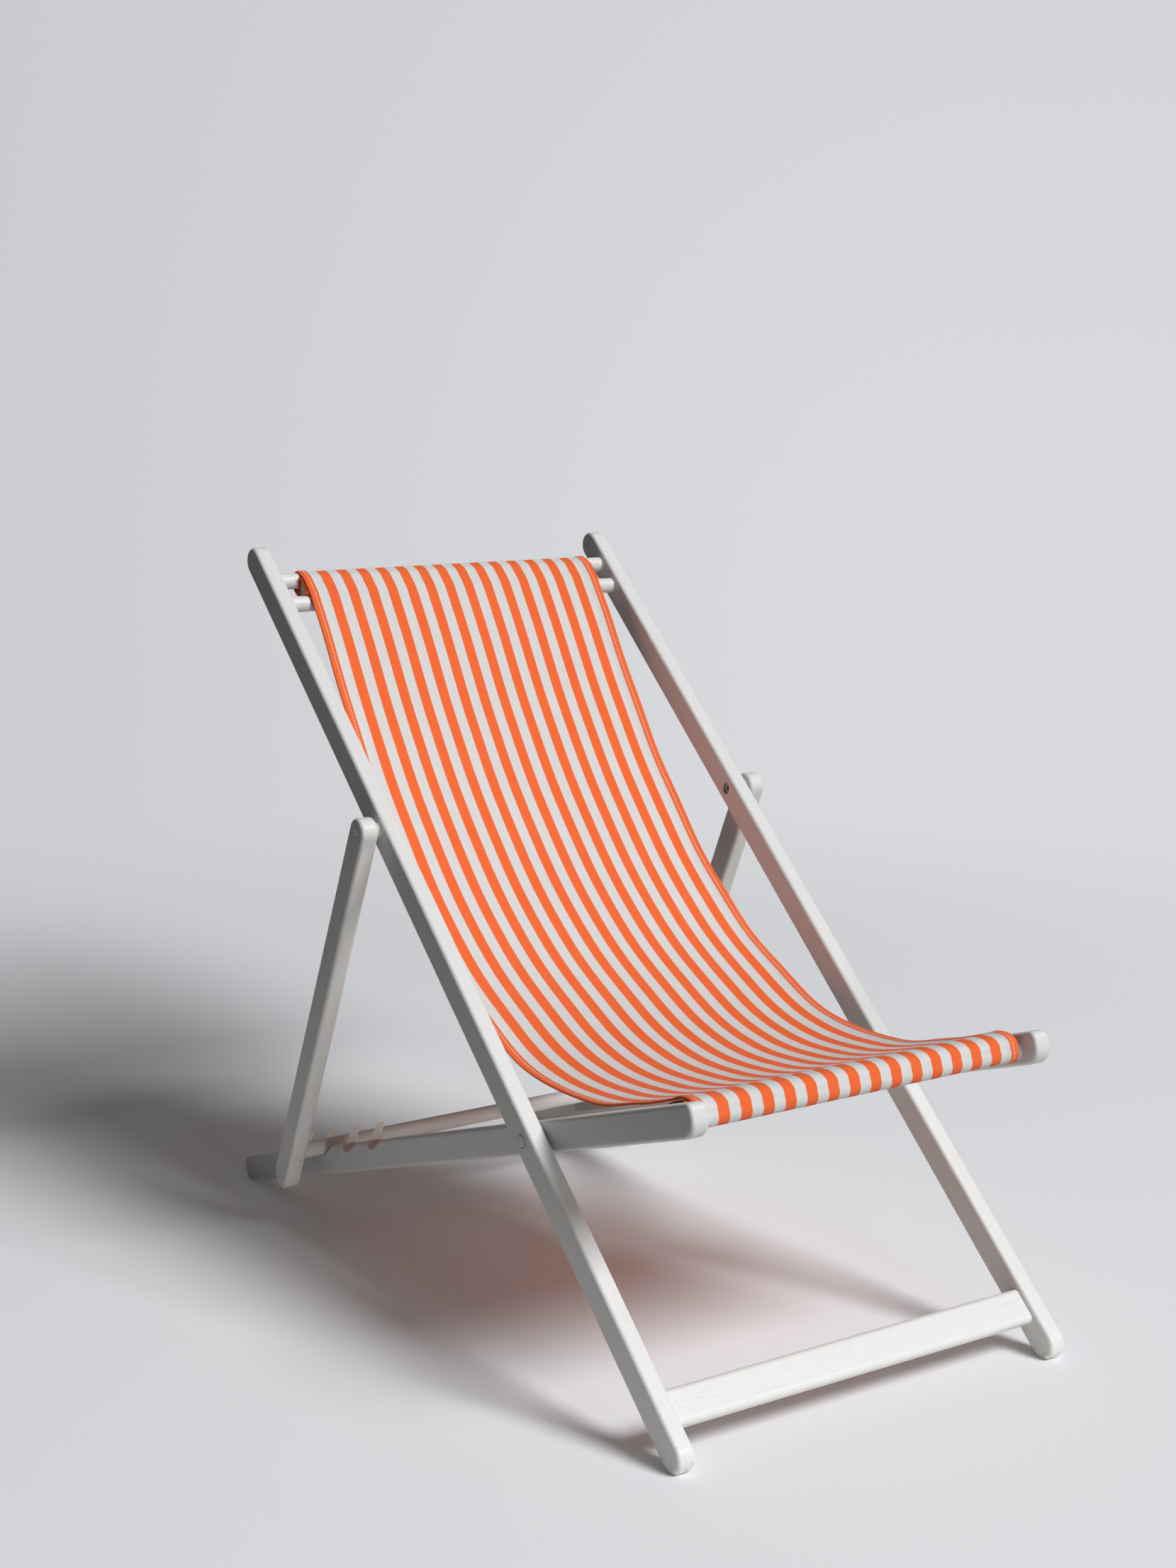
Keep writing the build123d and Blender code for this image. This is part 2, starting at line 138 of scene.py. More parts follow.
PAINT = tone(215, 216, 215)
PAINT_THIN = tone(206, 206, 204)
SCUFF = tone(150, 143, 134)
RAW_WOOD = tone(206, 186, 156)
RAW_WOOD_DARK = tone(160, 134, 104)
NYLON = tone(252, 248, 244)
NYLON_DULL = tone(242, 236, 229)
NYLON_GLOW = (1.0, 0.95, 0.90, 1.0)
NYLON_THROUGH = 0.5
STEEL = tone(168, 168, 165)
STEEL_DARK = tone(116, 116, 114)
ORANGE = tone(255, 122, 63)
# ORANGE_DEEP and CREAM_DEEP are darker yarn tones; the canvas also uses them for painted shade in
# the gaps between its threads
ORANGE_DEEP = tone(250, 102, 48)
CREAM = tone(230, 237, 237)
CREAM_DEEP = tone(219, 225, 225)
CANVAS_GLOW = (1.0, 0.38, 0.18, 1.0)
CANVAS_THROUGH = 0.18
THREAD = tone(238, 234, 226)
FLOOR = tone(232, 234, 238)
BACKDROP_LOW = tone(217, 218, 221)
BACKDROP_HIGH = tone(208, 209, 212)
BACKDROP_DIM = tone(200, 201, 204)


class Value:
    """A number on a shader socket, so that shader maths reads as plain arithmetic."""

    def __init__(self, finish, socket):
        self.finish = finish
        self.socket = socket

    def maths(self, operation, *terms):
        """The result of one operation on numbers or sockets."""
        settings = {"operation": operation}
        return self.finish.node("ShaderNodeMath", settings, dict(enumerate(terms)))

    def __add__(self, other):
        return self.maths("ADD", self, other)

    def __radd__(self, other):
        return self.maths("ADD", other, self)

    def __sub__(self, other):
        return self.maths("SUBTRACT", self, other)

    def __rsub__(self, other):
        return self.maths("SUBTRACT", other, self)

    def __mul__(self, other):
        return self.maths("MULTIPLY", self, other)

    def __rmul__(self, other):
        return self.maths("MULTIPLY", other, self)

    def __truediv__(self, other):
        return self.maths("DIVIDE", self, other)

    def __abs__(self):
        return self.maths("ABSOLUTE", self)

    def __gt__(self, other):
        return self.maths("GREATER_THAN", self, other)

    def sine(self):
        return self.maths("SINE", self)

    def step(self, low, high):
        """A smooth rise from 0 at low to 1 at high."""
        settings = {"interpolation_type": "SMOOTHSTEP"}
        limits = {"From Min": low, "From Max": high, "To Min": 0.0, "To Max": 1.0}
        return self.finish.node("ShaderNodeMapRange", settings, {"Value": self, **limits})


class Finish:
    """A material's node tree, or the world's."""

    def __init__(self, owner):
        owner.use_nodes = True
        self.owner = owner
        self.tree = owner.node_tree
        self.tree.nodes.clear()

    def node(self, kind, settings, sockets, output=0):
        """Adds a node: its settings first, then the values or links of its sockets."""
        made = self.tree.nodes.new(kind)
        for name, value in settings.items():
            setattr(made, name, value)
        for key, value in sockets.items():
            if isinstance(value, Value):
                self.tree.links.new(value.socket, made.inputs[key])
            else:
                made.inputs[key].default_value = value
        return Value(self, made.outputs[output]) if made.outputs else None

    def place(self, tilt=0.0, stretch=(1.0, 1.0, 1.0)):
        """Object coordinates turned to a rail's direction, in lengths of stretch."""
        spot = self.node("ShaderNodeTexCoord", {}, {}, output=3)
        sockets = {"Vector": spot, "Rotation": (tilt, 0, 0), "Scale": stretch}
        return self.node("ShaderNodeMapping", {"vector_type": "TEXTURE"}, sockets)

    def split(self, vector):
        """The three numbers of a vector."""
        parts = self.node("ShaderNodeSeparateXYZ", {}, {"Vector": vector}).socket.node
        return [Value(self, socket) for socket in parts.outputs]

    def join(self, x, y, z):
        """A vector of three numbers."""
        return self.node("ShaderNodeCombineXYZ", {}, {0: x, 1: y, 2: z})

    def noise(self, vector, scale=1.0, detail=3.0, roughness=0.55):
        """Smooth noise from 0 to 1."""
        sockets = {"Vector": vector, "Scale": scale, "Detail": detail, "Roughness": roughness}
        return self.node("ShaderNodeTexNoise", {}, sockets)

    def mix(self, share, first, second):
        """A colour between two, by share."""
        sockets = {0: share, 6: first, 7: second}
        return self.node("ShaderNodeMix", {"data_type": "RGBA"}, sockets, output=2)

    def surface(self, constants, links, height=None, depth=0.0002, strength=1.0, through=None):
        """The surface shader, with a height for its bump in units of depth, and the share and
        colour of the light that passes through it."""
        sockets = {**constants, **links}
        if height is not None:
            bump = {"Height": height, "Distance": depth, "Strength": strength}
            sockets["Normal"] = self.node("ShaderNodeBump", {}, bump)
        shader = self.node("ShaderNodeBsdfPrincipled", {}, sockets)
        if through:
            lit = self.node("ShaderNodeBsdfTranslucent", {}, {"Color": through[1]})
            shader = self.node("ShaderNodeMixShader", {}, {0: through[0], 1: shader, 2: lit})
        self.node("ShaderNodeOutputMaterial", {}, {"Surface": shader})
        return self.owner


def painted_wood(name, tilt, along_x=False):
    """Satin white paint, thin enough to show the beech's pores, scuffed at the floor."""
    finish = Finish(bpy.data.materials.new(name))
    fibre = (0.16, 0.0011, 0.0011) if along_x else (0.0011, 0.16, 0.0011)
    pore = (0.011, 0.00035, 0.00035) if along_x else (0.00035, 0.011, 0.00035)
    grain = finish.noise(finish.place(tilt, fibre), detail=4.0, roughness=0.6)
    pores = finish.noise(finish.place(tilt, pore), detail=1.0).step(0.60, 0.74)
    brush = finish.noise(finish.place(tilt), scale=34.0, detail=2.0)
    thin = grain.step(0.42, 0.78) * 0.55 + pores * 0.30
    spot = finish.place()
    low = 1 - finish.split(spot)[2].step(0.002, 0.020)
    scuffs = low * finish.noise(spot, scale=160.0, detail=4.0).step(0.45, 0.75)
    colour = finish.mix(scuffs * 0.7, finish.mix(thin, PAINT, PAINT_THIN), SCUFF)
    return finish.surface(
        {"Specular IOR Level": 0.45, "Coat Roughness": 0.3},
        {
            "Base Color": colour,
            "Roughness": 0.40 + 0.16 * brush + 0.12 * scuffs,
            "Coat Weight": 0.10 + 0.12 * brush,
        },
        height=grain * 0.75 - pores * 0.55 + brush * 0.5,
        depth=0.00022,
        strength=0.6,
    )


def raw_wood(name):
    """Bare softwood with its grain along X and growth rings on its ends."""
    finish = Finish(bpy.data.materials.new(name))
    wander = finish.noise(finish.place(0.0, (0.25, 0.02, 0.02)), detail=2.0)
    _, y, z = finish.split(finish.place())
    rings = ((y * 0.8 + z + wander * 0.012) * 2300).sine() * 0.5 + 0.5
    fibres = finish.noise(finish.place(0.0, (0.05, 0.0006, 0.0006)), detail=3.0)
    shade = rings * 0.45 + fibres * 0.5
    return finish.surface(
        {"Specular IOR Level": 0.3},
        {
            "Base Color": finish.mix(shade, RAW_WOOD, RAW_WOOD_DARK),
            "Roughness": 0.62 + 0.2 * fibres,
        },
        height=fibres * 0.7 + rings * 0.3,
        depth=0.0002,
    )


def moulded_nylon(name):
    """Natural nylon with a fine moulded texture."""
    finish = Finish(bpy.data.materials.new(name))
    cloud = finish.noise(finish.place(), scale=60.0, detail=3.0)
    pebble = finish.noise(finish.place(), scale=2600.0, detail=2.0)
    return finish.surface(
        {"Specular IOR Level": 0.45},
        {"Base Color": finish.mix(cloud, NYLON, NYLON_DULL), "Roughness": 0.36 + 0.18 * pebble},
        height=pebble,
        depth=0.00005,
        strength=0.5,
        through=(NYLON_THROUGH, NYLON_GLOW),
    )


def plated_steel(name):
    """Bright zinc plate, dulled in patches and rubbed in fine lines."""
    finish = Finish(bpy.data.materials.new(name))
    patches = finish.noise(finish.place(), scale=420.0, detail=4.0)
    rubbed = finish.noise(finish.place(0.0, (0.002, 0.0001, 0.0001)), detail=2.0)
    return finish.surface(
        {"Metallic": 1.0},
        {
            "Base Color": finish.mix(patches.step(0.35, 0.8) * 0.6, STEEL, STEEL_DARK),
            "Roughness": 0.26 + 0.22 * patches + 0.08 * rubbed,
        },
        height=rubbed,
        depth=0.00003,
        strength=0.4,
    )


def striped_canvas(name):
    """Plain-woven canvas with woven stripes, mapped in metres across and along the cut."""
    finish = Finish(bpy.data.materials.new(name))
    cut = finish.node("ShaderNodeUVMap", {"uv_map": "cut"}, {})
    across, along, _ = finish.split(cut)
    warp_yarn = finish.noise(finish.join(across / 0.0007, along / 0.09, 0.0), detail=2.0)
    weft_yarn = finish.noise(finish.join(across / 0.07, along / 0.0008, 4.0), detail=2.0)
    edge = (weft_yarn - 0.5) * 0.10
    stripe = (across + STRIPES * STRIPE_WIDE / 2) / STRIPE_WIDE + edge
    orange = 1 - (stripe * pi).sine().step(-0.07, 0.07)
    warp = (across * (pi / THREAD_PITCH)).sine()
    weft = (along * (pi / THREAD_PITCH)).sine()
    on_top = warp * weft > 0.0
    thread = on_top * abs(warp) + (1 - on_top) * abs(weft)
    yarn = on_top * warp_yarn + (1 - on_top) * weft_yarn
    worn = finish.noise(finish.join(across, along, 0.0), scale=11.0, detail=3.0)
    # Darker with the yarn's own tone and fading, and with painted shade in the gaps between
    # threads
    yarn_tone_and_gap_shade = (1 - thread) * 0.34 + yarn.step(0.30, 0.78) * 0.50 + (worn - 0.5) * 0.35
    orange_yarn = finish.mix(yarn_tone_and_gap_shade, ORANGE, ORANGE_DEEP)
    cream_yarn = finish.mix(yarn_tone_and_gap_shade, CREAM, CREAM_DEEP)
    return finish.surface(
        {"Specular IOR Level": 0.18, "Sheen Weight": 0.12, "Sheen Roughness": 0.45},
        {
            "Base Color": finish.mix(orange, cream_yarn, orange_yarn),
            "Roughness": 0.82 + 0.14 * yarn,
        },
        height=thread * 0.7 + yarn * 0.5,
        depth=0.00028,
        strength=0.7,
        through=(CANVAS_THROUGH, CANVAS_GLOW),
    )


def sewing_thread(name):
    """Twisted cotton thread."""
    finish = Finish(bpy.data.materials.new(name))
    x, y, z = finish.split(finish.place())
    twist = ((x + y * 0.6 + z * 0.8) * 9000).sine() * 0.5 + 0.5
    return finish.surface(
        {"Specular IOR Level": 0.25, "Sheen Weight": 0.1},
        {
            "Base Color": finish.mix(twist * 0.5, THREAD, CREAM_DEEP),
            "Roughness": 0.7 + 0.15 * twist,
        },
        height=twist,
        depth=0.00008,
    )


# Finishes for the pieces of the frame
WOOD_ALONG = {
    "main": (("main_rail_left", "main_rail_right"), MAIN_TILT, False),
    "seat": (("seat_rail_left", "seat_rail_right"), SEAT_TILT, False),
    "strut": (("strut_leg_left", "strut_leg_right"), STRUT_TILT, False),
    "cross": (
        (
            "top_dowel_upper", "top_dowel_lower", "front_dowel_outer",
            "front_dowel_inner", "strut_dowel", "front_slat", "top_batten", "front_batten",
        ),
        0.0,
        True,
    ),
}
STEEL_PIECES = (
    "seat_pivot_bolts", "seat_pivot_nuts", "strut_pivot_bolts", "strut_pivot_nuts",
    "rack_screws", "strut_brads",
)
NYLON_PIECES = ("hook_rack_left", "hook_rack_right", "seat_pivot_spacers", "strut_pivot_spacers")


def dress(names, material):
    """Gives CAD nodes a material."""
    for name in names:
        nodes[name].data.materials.clear()
        nodes[name].data.materials.append(material)


for run, (names, tilt, along_x) in WOOD_ALONG.items():
    dress(names, painted_wood("painted_wood_" + run, tilt, along_x))
dress(("slat_pins",), raw_wood("bare_wood"))
dress(NYLON_PIECES, moulded_nylon("nylon"))
dress(STEEL_PIECES, plated_steel("zinc_plate"))


class End:
    """One end of the sling, in p from the inner dowel to the outer one and q to the sitter."""

    def __init__(self, outer, inner, quarter, leave):
        self.middle = (outer + inner) / 2
        self.p = (outer - inner).normalized()
        self.q = Vector((0, -self.p.z, self.p.y)) * quarter
        self.spread = (outer - inner).length / 2
        self.leave = radians(leave)
        half_tip = atan2(BATTEN_BASE / 2, BATTEN_HIGH)
        stand_off = DOWEL_R + CLOTH_GAP + SLEEVE
        self.tip = (stand_off - self.spread * cos(half_tip)) / sin(half_tip)
        self.crest = self.tip + BATTEN_HIGH + SLEEVE + CREST_RISE
        grown = SLEEVE_MIDDLE / sin(half_tip)
        self.low = self.tip - grown
        self.high = self.tip + BATTEN_HIGH + SLEEVE_MIDDLE
        self.half = (self.high - self.low) * tan(half_tip)
        self.apex = self.tip + BATTEN_R * (1 / sin(half_tip) - 1) - SLEEVE + SEAM_LIFT
        reach = hypot(self.spread, self.apex)
        self.start = atan2(-self.apex, self.spread) - asin(WRAP_R / reach) - pi / 2

    def at(self, p, q):
        """A point beside the end's two dowels."""
        return self.middle + self.p * p + self.q * q

    def rim(self, angle, radius=WRAP_R):
        """A point on a circle round the outer dowel."""
        return self.at(self.spread + radius * cos(angle), radius * sin(angle))

    def sleeve(self):
        """The sheet's loop round the batten, from the seam at its tip and back to it."""
        corner = BATTEN_R + SLEEVE_MIDDLE
        shy = corner * 1.35
        flank = 0.012
        cut_p = 0.0021
        cut_q = 0.0012
        right = Vector((self.half, self.high))
        left = Vector((-self.half, self.high))
        low = Vector((0, self.low))
        up_right = Vector((self.half, self.high - self.low)).normalized()
        up_left = Vector((-up_right.x, up_right.y))
        points = [
            low + up_right * SEAM_FIRST,
            right - up_right * flank,
            right - up_right * shy * 1.5,
            right + Vector((-cut_p, -cut_q)),
            right - Vector((shy * 1.7, 0)),
            Vector((0.003, self.high)),
            Vector((-0.004, self.high)),
            left + Vector((shy * 1.7, 0)),
            left + Vector((cut_p, -cut_q)),
            left - up_left * shy * 1.5,
            left - up_left * flank,
            low + up_left * SEAM_LAST,
        ]
        return [self.at(p, q) for p, q in points]

    def wrap(self):
        """The run from the seam round the outer dowel to where the sheet leaves it."""
        steps = 8
        turn = self.leave - self.start
        return [self.rim(self.start + turn * i / steps) for i in range(steps + 1)]


top = End(TOP_OUTER, TOP_INNER, quarter=1, leave=78)
front = End(FRONT_OUTER, FRONT_INNER, quarter=-1, leave=10)

hang_from = top.at(-BATTEN_BASE / 2, top.crest)
hang_to = front.at(-BATTEN_BASE / 2 - FRONT_SET_BACK, front.crest)
chord = hang_to - hang_from
below = Vector((0, -chord.z, chord.y))
hang_way = (chord * SAG[0][0] + below * SAG[0][1]).normalized()
route = [
    *top.sleeve(),
    top.at(0, top.apex),
    *top.wrap(),
    top.at(BATTEN_BASE / 2, top.crest - CREST_EDGE),
    top.at(BATTEN_BASE / 3, top.crest),
    top.at(0, top.crest + CREST_ROUND),
    top.at(-BATTEN_BASE / 3, top.crest),
    hang_from + top.p * CREASE - top.q * CREST_ROUND,
    hang_from - top.q * 3 * CREST_ROUND,
    hang_from + hang_way * CREASE,
    hang_from + hang_way * 4 * CREASE,
    *[hang_from + chord * share + below * depth for share, depth in SAG],
    hang_to,
    front.at(BATTEN_BASE / 4, front.crest + FRONT_CREST_ROUND),
    front.rim(radians(52), WRAP_R + FRONT_ROLL_OUT),
    *reversed(front.wrap()),
    front.at(0, front.apex),
    *reversed(front.sleeve()),
]


def smooth_line(points, divisions):
    """Points along a curve that runs smoothly through the given ones."""
    curve = bpy.data.curves.new("line", "CURVE")
    curve.dimensions = "3D"
    spline = curve.splines.new("BEZIER")
    spline.bezier_points.add(len(points) - 1)
    for knot, point in zip(spline.bezier_points, points):
        knot.co = point
        knot.handle_left_type = "AUTO"
        knot.handle_right_type = "AUTO"
    spline.resolution_u = divisions
    holder = bpy.data.objects.new("line", curve)
    bpy.context.scene.collection.objects.link(holder)
    bpy.context.view_layer.update()
    line = bpy.data.meshes.new_from_object(holder)
    found = [vert.co.copy() for vert in line.vertices]
    bpy.data.objects.remove(holder)
    bpy.data.curves.remove(curve)
    bpy.data.meshes.remove(line)
    return found


profile = smooth_line(route, 8)
lengths = [0.0]
for first, second in zip(profile, profile[1:]):
    lengths.append(lengths[-1] + (second - first).length)
ways = []
for i in range(len(profile)):
    before = profile[max(i - 1, 0)]
    after = profile[min(i + 1, len(profile) - 1)]
    ways.append((after - before).normalized())
outs = [Vector((0, way.z, -way.y)) for way in ways]


def nearest_length(point):
    """The length along the sheet at the place nearest to a point."""
    return min(zip(profile, lengths), key=lambda pair: (pair[0] - point).length)[1]


HANG_START = nearest_length(hang_from)
HANG_END = nearest_length(hang_to)
SEAM_TOP = nearest_length(top.rim(top.start))
SEAM_FRONT = nearest_length(front.rim(front.start))


def ease(value, low, high):
    """A smooth rise from 0 at low to 1 at high."""
    share = min(1.0, max(0.0, (value - low) / (high - low)))
    return share * share * (3 - 2 * share)


def hang_share(along):
    """The share of the hanging part that lies before a length along the sheet."""
    return min(1.0, max(0.0, (along - HANG_START) / (HANG_END - HANG_START)))


def lie(x, along):
    """How far the slack cloth stands out of its smooth hanging line, towards the sitter."""
    share = hang_share(along)
    free = ease(share, 0.0, 0.12) * ease(1 - share, 0.0, 0.10)
    side = x / CLOTH_HALF
    belly = -BELLY * (1 - side * side) * free
    drawn = PUCKER_TOP * sin(x * 190 + 1.1) * exp(-share / 0.05) * ease(share, 0.0, 0.03)
    to_end = 1 - share
    pushed = PUCKER_FRONT * sin(x * 120 + 0.6) * exp(-to_end / 0.05) * ease(to_end, 0.0, 0.03)
    roll = ROLLING * sin(x * 13 + 2.0) * sin(along * 9.5) * free
    hem = HEM_WAVE * sin(along * 41) * exp((abs(side) - 1) * 9) * free
    return belly + drawn + pushed + roll + hem


def drift(along):
    """How far across the chair the slack cloth has slid."""
    share = hang_share(along)
    slack = sin(pi * share ** 2.2) * ease(1 - share, 0.10, 0.28)
    return -SLIDE_MIDDLE * slack - SLIDE_FRONT * ease(share, 0.30, 0.90)


def hem_rise(along):
    """The folded hem stands up on the dowels and lies tight in the sleeves."""
    past_top = ease(along, SEAM_TOP, SEAM_TOP + HEM_EASE)
    before_front = ease(-along, -SEAM_FRONT, HEM_EASE - SEAM_FRONT)
    free = past_top * before_front
    return HEM_RISE * (HEM_TIGHT + (1 - HEM_TIGHT) * free)


# Columns of the sheet from one raw edge to the other: place on the cut, place across the
# chair, and height as a share of the hem's
edge = CLOTH_HALF
inner = CLOTH_HALF - HEM_WIDE
hem_columns = [
    (edge + HEM_WIDE - FOLD_R, inner + FOLD_R, 0.0),
    (edge + HEM_WIDE / 2, inner + HEM_WIDE / 2, 0.0),
    (edge + 0.0008, edge - FOLD_R, 0.05),
    (edge + 0.0002, edge - 0.0001, 0.5),
    (edge - FOLD_R, edge - FOLD_R, 0.95),
    (edge - HEM_WIDE * 0.2, edge - HEM_WIDE * 0.2, 1.3),
    (edge - HEM_WIDE * 0.42, edge - HEM_WIDE * 0.42, 1.2),
    (edge - STITCH_IN, edge - STITCH_IN, STITCH_SUNK),
    (edge - HEM_WIDE * 0.8, edge - HEM_WIDE * 0.8, 1.05),
    (inner + 0.0010, inner + 0.0010, 1.0),
    (inner - 0.0002, inner - 0.0002, 0.6),
    (inner - HEM_FALL, inner - HEM_FALL, 0.0),
]
PLAIN_COLUMNS = 46
plain = inner - HEM_FALL
columns = [(-cut, -x, rise) for cut, x, rise in hem_columns]
for i in range(1, PLAIN_COLUMNS):
    x = -plain + 2 * plain * i / PLAIN_COLUMNS
    columns.append((x, x, 0.0))
columns += reversed(hem_columns)


def cloth_point(row, x, rise):
    """A point of the sheet's middle layer."""
    along = lengths[row]
    lift = lie(x, along) + rise * hem_rise(along)
    return profile[row] + outs[row] * lift + Vector((x + drift(along), 0, 0))


def piece(name, form):
    """A new object with its place in its mesh."""
    mesh = bpy.data.meshes.new(name)
    form.to_mesh(mesh)
    form.free()
    made = bpy.data.objects.new(name, mesh)
    bpy.context.scene.collection.objects.link(made)
    return made


def woven_sheet():
    """The sheet's middle layer, drawn out column by column from its first raw edge."""
    form = bmesh.new()
    row_of = form.verts.layers.int.new("row")
    cut = form.loops.layers.uv.new("cut")
    cut_of = form.verts.layers.float.new("cut_across")
    line = [form.verts.new(point) for point in profile]
    for row, vert in enumerate(line):
        vert[row_of] = row
    rim = [form.edges.new(pair) for pair in zip(line, line[1:])]
    verts = line
    for index, (across, x, rise) in enumerate(columns):
        if index:
            drawn = bmesh.ops.extrude_edge_only(form, edges=rim)["geom"]
            verts = [part for part in drawn if isinstance(part, bmesh.types.BMVert)]
            fresh = set(verts)
            rim = [part for part in drawn
                   if isinstance(part, bmesh.types.BMEdge) and fresh.issuperset(part.verts)]
        for vert in verts:
            vert[cut_of] = across
            vert.co = cloth_point(vert[row_of], x, rise)
    for face in form.faces:
        face.smooth = True
        for loop in face.loops:
            loop[cut].uv = (loop.vert[cut_of], lengths[loop.vert[row_of]])
    return piece("striped_sling", form)


sling = woven_sheet()
sling.data.materials.append(striped_canvas("striped_canvas"))
body_of_cloth = sling.modifiers.new("thickness", "SOLIDIFY")
body_of_cloth.thickness = CLOTH_THICK
body_of_cloth.offset = 0.0
body_of_cloth.use_even_offset = True


def one_stitch():
    """A short thread with round ends, along X."""
    form = bmesh.new()
    size = Matrix.Diagonal((STITCH_LONG / 2, STITCH_R, STITCH_R * 0.9, 1))
    turn = Matrix.Rotation(pi / 2, 4, "Y")
    bmesh.ops.create_uvsphere(form, u_segments=6, v_segments=5, radius=1.0, matrix=size @ turn)
    for face in form.faces:
        face.smooth = True
    mesh = bpy.data.meshes.new("one_stitch")
    form.to_mesh(mesh)
    form.free()
    return mesh


def add_stitch(form, stitch, at, way, out):
    """A copy of the stitch, lying on the cloth."""
    turn = Matrix((way, out.cross(way), out)).transposed().to_4x4()
    sewn = stitch.copy()
    sewn.transform(Matrix.Translation(at) @ turn)
    form.from_mesh(sewn)
    bpy.data.meshes.remove(sewn)


def along_cloth(along):
    """The row just before a length along the sheet, and the share of the way to the next."""
    row = 0
    while row < len(lengths) - 2 and lengths[row + 1] < along:
        row += 1
    return row, (along - lengths[row]) / (lengths[row + 1] - lengths[row])


def cloth_at(x, rise, along, lift):
    """A point over the sheet's middle layer, with the sheet's directions there."""
    row, share = along_cloth(along)
    first = cloth_point(row, x, rise)
    second = cloth_point(row + 1, x, rise)
    way = (second - first).normalized()
    out = Vector((0, way.z, -way.y)).normalized()
    return first.lerp(second, share) + out * lift, way, out


def sewn_lines():
    """Stitches along both hems, on both faces, and across the seams of the sleeves."""
    form = bmesh.new()
    stitch = one_stitch()
    top_lift = CLOTH_THICK / 2
    line_x = CLOTH_HALF - STITCH_IN
    count = int((SEAM_FRONT - SEAM_TOP) / STITCH_PITCH)
    for x in (-line_x, line_x):
        for i in range(count):
            along = SEAM_TOP + (i + 0.5) * STITCH_PITCH
            add_stitch(form, stitch, *cloth_at(x, STITCH_SUNK, along, top_lift))
            if HANG_START + STITCH_CLEAR < along < HANG_END - STITCH_CLEAR:
                add_stitch(form, stitch, *cloth_at(x, 0.0, along + STITCH_PITCH / 2, -top_lift))
    across = int(2 * inner / STITCH_PITCH)
    for along in (SEAM_TOP - SEAM_IN, SEAM_FRONT + SEAM_IN):
        for i in range(across):
            x = -inner + (i + 0.5) * STITCH_PITCH
            at, way, out = cloth_at(x, 0.0, along, top_lift)
            add_stitch(form, stitch, at, Vector((1, 0, 0)), out)
    bpy.data.meshes.remove(stitch)
    return piece("sling_stitches", form)


stitches = sewn_lines()
stitches.data.materials.append(sewing_thread("sewing_thread"))

for cloth in (sling, stitches):
    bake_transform(cloth)
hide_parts("sling")

# Floor and light
FLOOR_R = 7.0
FLOOR_FADE = (1.3, 3.2)
FLOOR_LIFT = 0.03
BOUNCE_FADE = (0.5, 1.4)
# A painted shadow on the floor: the far end of the chair's shadow, drawn out softly behind it
PAINTED_SHADOW_RISE = (0.80, 1.22)
PAINTED_SHADOW_FALL = (1.2, 2.9)
PAINTED_SHADOW_SIDE = (-0.10, 0.42)
PAINTED_SHADOW_END = (-1.5, -0.6)
PAINTED_SHADOW_DEPTH = 0.58
PAINTED_SHADOW_COLOUR = tone(60, 60, 62)
FLOOR_BOUNCE = (0.97, 0.97, 0.96, 1)
# The backdrop is dimmer on one side and higher up, and the fill light comes from overhead
LIT_WAY = (0.84, -0.55)
DIM_FADE = (-0.40, 0.16)
HIGH_FADE = (-0.1, 0.35)
OVERHEAD = (0.6, 1.0)
FILL_SIDE = 0.003
FILL_TOP = 0.25
FILL = (1.0, 0.98, 0.95, 1)
GLOSS_SHARE = 0.5
CANVAS_LIGHT = (1.0, 0.38, 0.16)


def studio_floor():
    """A pale floor that fades into the backdrop with distance, with a soft painted shadow behind
    the chair.
    """
    form = bmesh.new()
    bmesh.ops.create_circle(form, cap_ends=True, segments=96, radius=FLOOR_R)
    floor = piece("floor", form)
    finish = Finish(bpy.data.materials.new("floor"))
    spot = finish.place()
    distance = finish.node("ShaderNodeVectorMath", {"operation": "LENGTH"}, {0: spot}, output=1)
    x, y, _ = finish.split(spot)
    # Painted shadow: for the camera, the floor's colour darkens in a soft patch behind the chair
    painted_shadow_long = y.step(*PAINTED_SHADOW_RISE) * (1 - y.step(*PAINTED_SHADOW_FALL))
    painted_shadow_wide = x.step(*PAINTED_SHADOW_END) * (1 - x.step(*PAINTED_SHADOW_SIDE))
    pale = finish.mix(painted_shadow_long * painted_shadow_wide * PAINTED_SHADOW_DEPTH, FLOOR, PAINTED_SHADOW_COLOUR)
    path = finish.node("ShaderNodeLightPath", {}, {})
    colour = finish.mix(path, FLOOR_BOUNCE, pale)
    matt = finish.node("ShaderNodeBsdfDiffuse", {}, {"Color": colour})
    glow = finish.node("ShaderNodeEmission", {}, {"Strength": path * FLOOR_LIFT})
    seen = finish.node("ShaderNodeAddShader", {}, {0: matt, 1: glow})
    clear = finish.node("ShaderNodeBsdfTransparent", {}, {})
    far = path * distance.step(*FLOOR_FADE) + (1 - path) * distance.step(*BOUNCE_FADE)
    blend = finish.node("ShaderNodeMixShader", {}, {0: far, 1: seen, 2: clear})
    finish.node("ShaderNodeOutputMaterial", {}, {"Surface": blend})
    floor.data.materials.append(finish.owner)


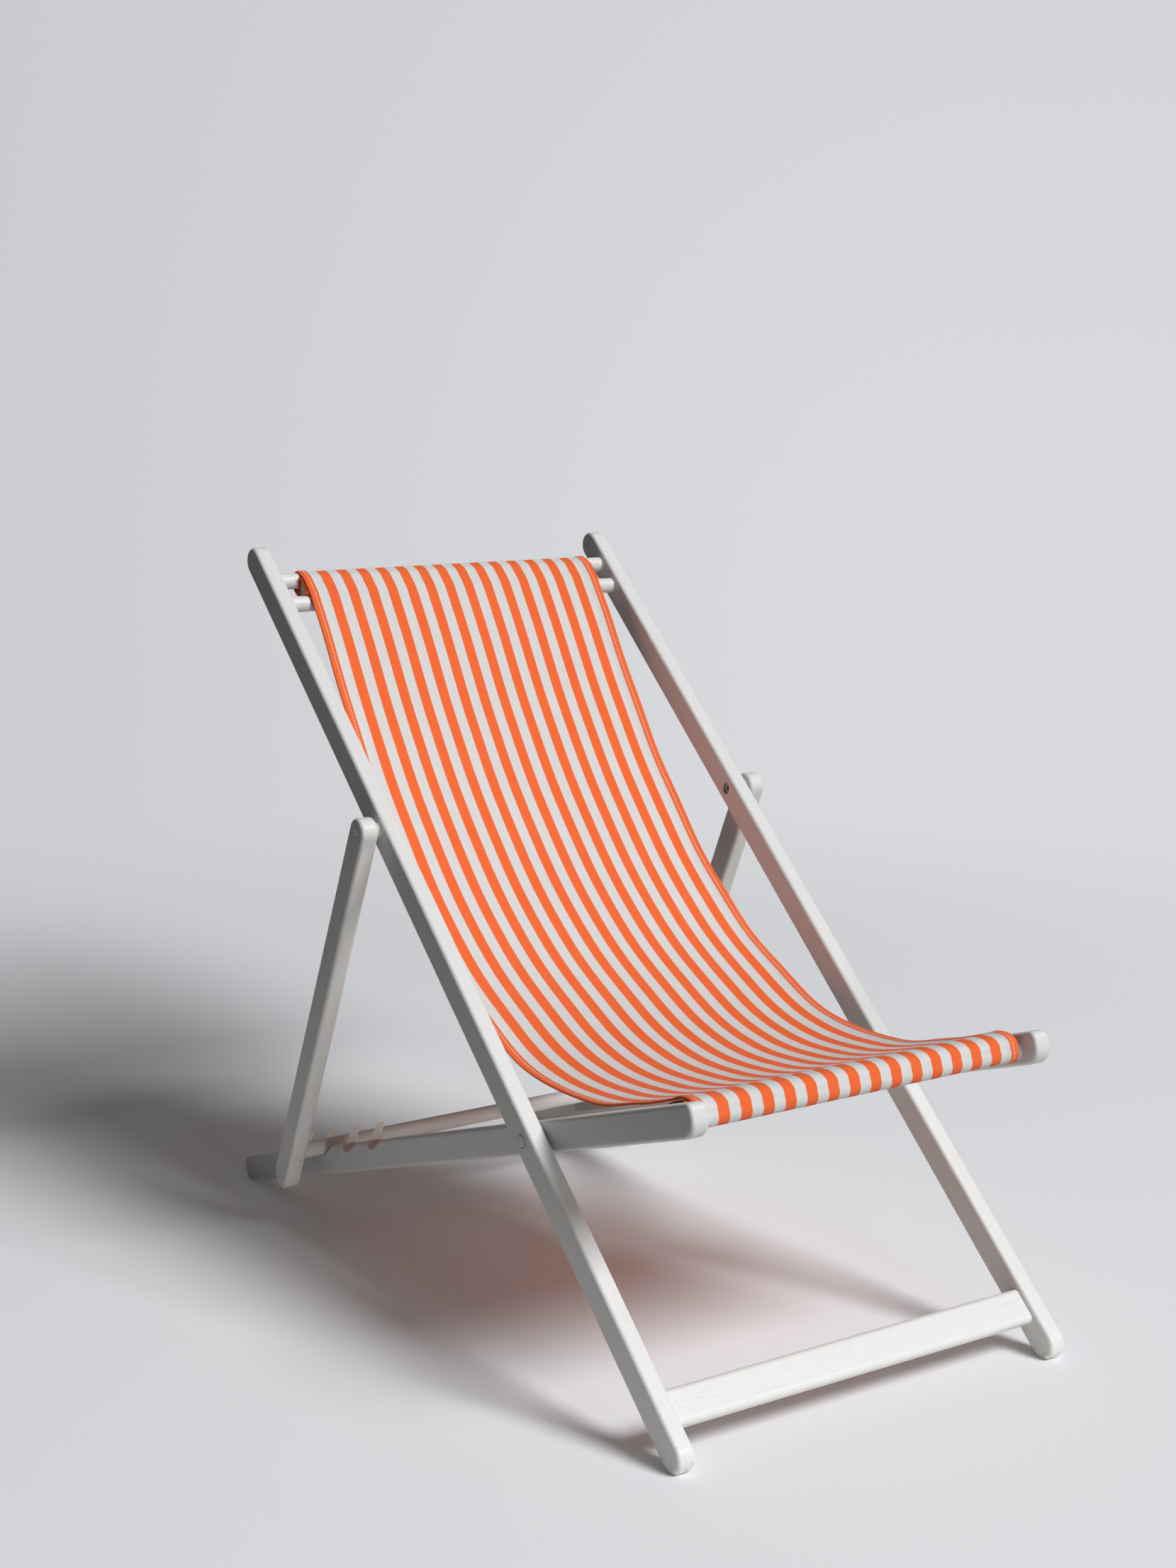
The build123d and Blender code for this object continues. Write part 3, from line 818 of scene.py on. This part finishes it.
def studio_backdrop():
    """A pale backdrop for the camera and reflections, and a weak fill light from overhead."""
    world = bpy.data.worlds.new("backdrop")
    bpy.context.scene.world = world
    finish = Finish(world)
    spot = finish.node("ShaderNodeTexCoord", {}, {}, output=0)
    x, y, height = finish.split(spot)
    lit_side = (x * LIT_WAY[0] + y * LIT_WAY[1]).step(*DIM_FADE)
    lit_colour = finish.mix(height.step(*HIGH_FADE), BACKDROP_LOW, BACKDROP_HIGH)
    seen_colour = finish.mix(lit_side, BACKDROP_DIM, lit_colour)
    seen = finish.node("ShaderNodeBackground", {}, {"Color": seen_colour})
    above = FILL_SIDE + FILL_TOP * height.step(*OVERHEAD)
    fill = finish.node("ShaderNodeBackground", {}, {"Color": FILL, "Strength": above})
    path = finish.node("ShaderNodeLightPath", {}, {}).socket.node.outputs
    rays = [Value(finish, path[name]) for name in
            ("Is Camera Ray", "Is Glossy Ray", "Is Transmission Ray")]
    shown = rays[0] + rays[1] * GLOSS_SHARE + rays[2]
    blend = finish.node("ShaderNodeMixShader", {}, {0: shown, 1: fill, 2: seen})
    finish.node("ShaderNodeOutputWorld", {}, {"Surface": blend})


def lamp(name, at, towards, size, power, colour=(1, 1, 1)):
    """A round lamp that the camera doesn't see."""
    light = bpy.data.lights.new(name, "AREA")
    light.shape = "DISK"
    light.size = size
    light.energy = power
    light.color = colour
    holder = bpy.data.objects.new(name, light)
    holder.location = at
    holder.rotation_euler = (Vector(towards) - Vector(at)).to_track_quat("-Z", "Y").to_euler()
    holder.visible_camera = False
    bpy.context.scene.collection.objects.link(holder)


studio_floor()
studio_backdrop()
lamp("key", at=(6.5, -15.3, 16.7), towards=(0, 0.05, 0.35), size=9.6, power=5300.0)
lamp("front", at=(-0.6, -5.6, 0.5), towards=(0, 0.05, 0.40), size=1.0, power=60.0)
lamp(
    "through_canvas", at=(0.06, -0.05, 0.27), towards=(0.06, -0.05, 0.0),
    size=0.40, power=0.09, colour=CANVAS_LIGHT,
)

camera = bpy.data.objects.new("camera", bpy.data.cameras.new("camera"))
camera.data.lens = CAMERA_LENS
camera.location = CAMERA_AT
camera.rotation_euler = [radians(turn) for turn in CAMERA_TURN]
bpy.context.scene.collection.objects.link(camera)
bpy.context.scene.camera = camera
bpy.context.scene.view_settings.view_transform = "Standard"

bpy.context.view_layer.update()
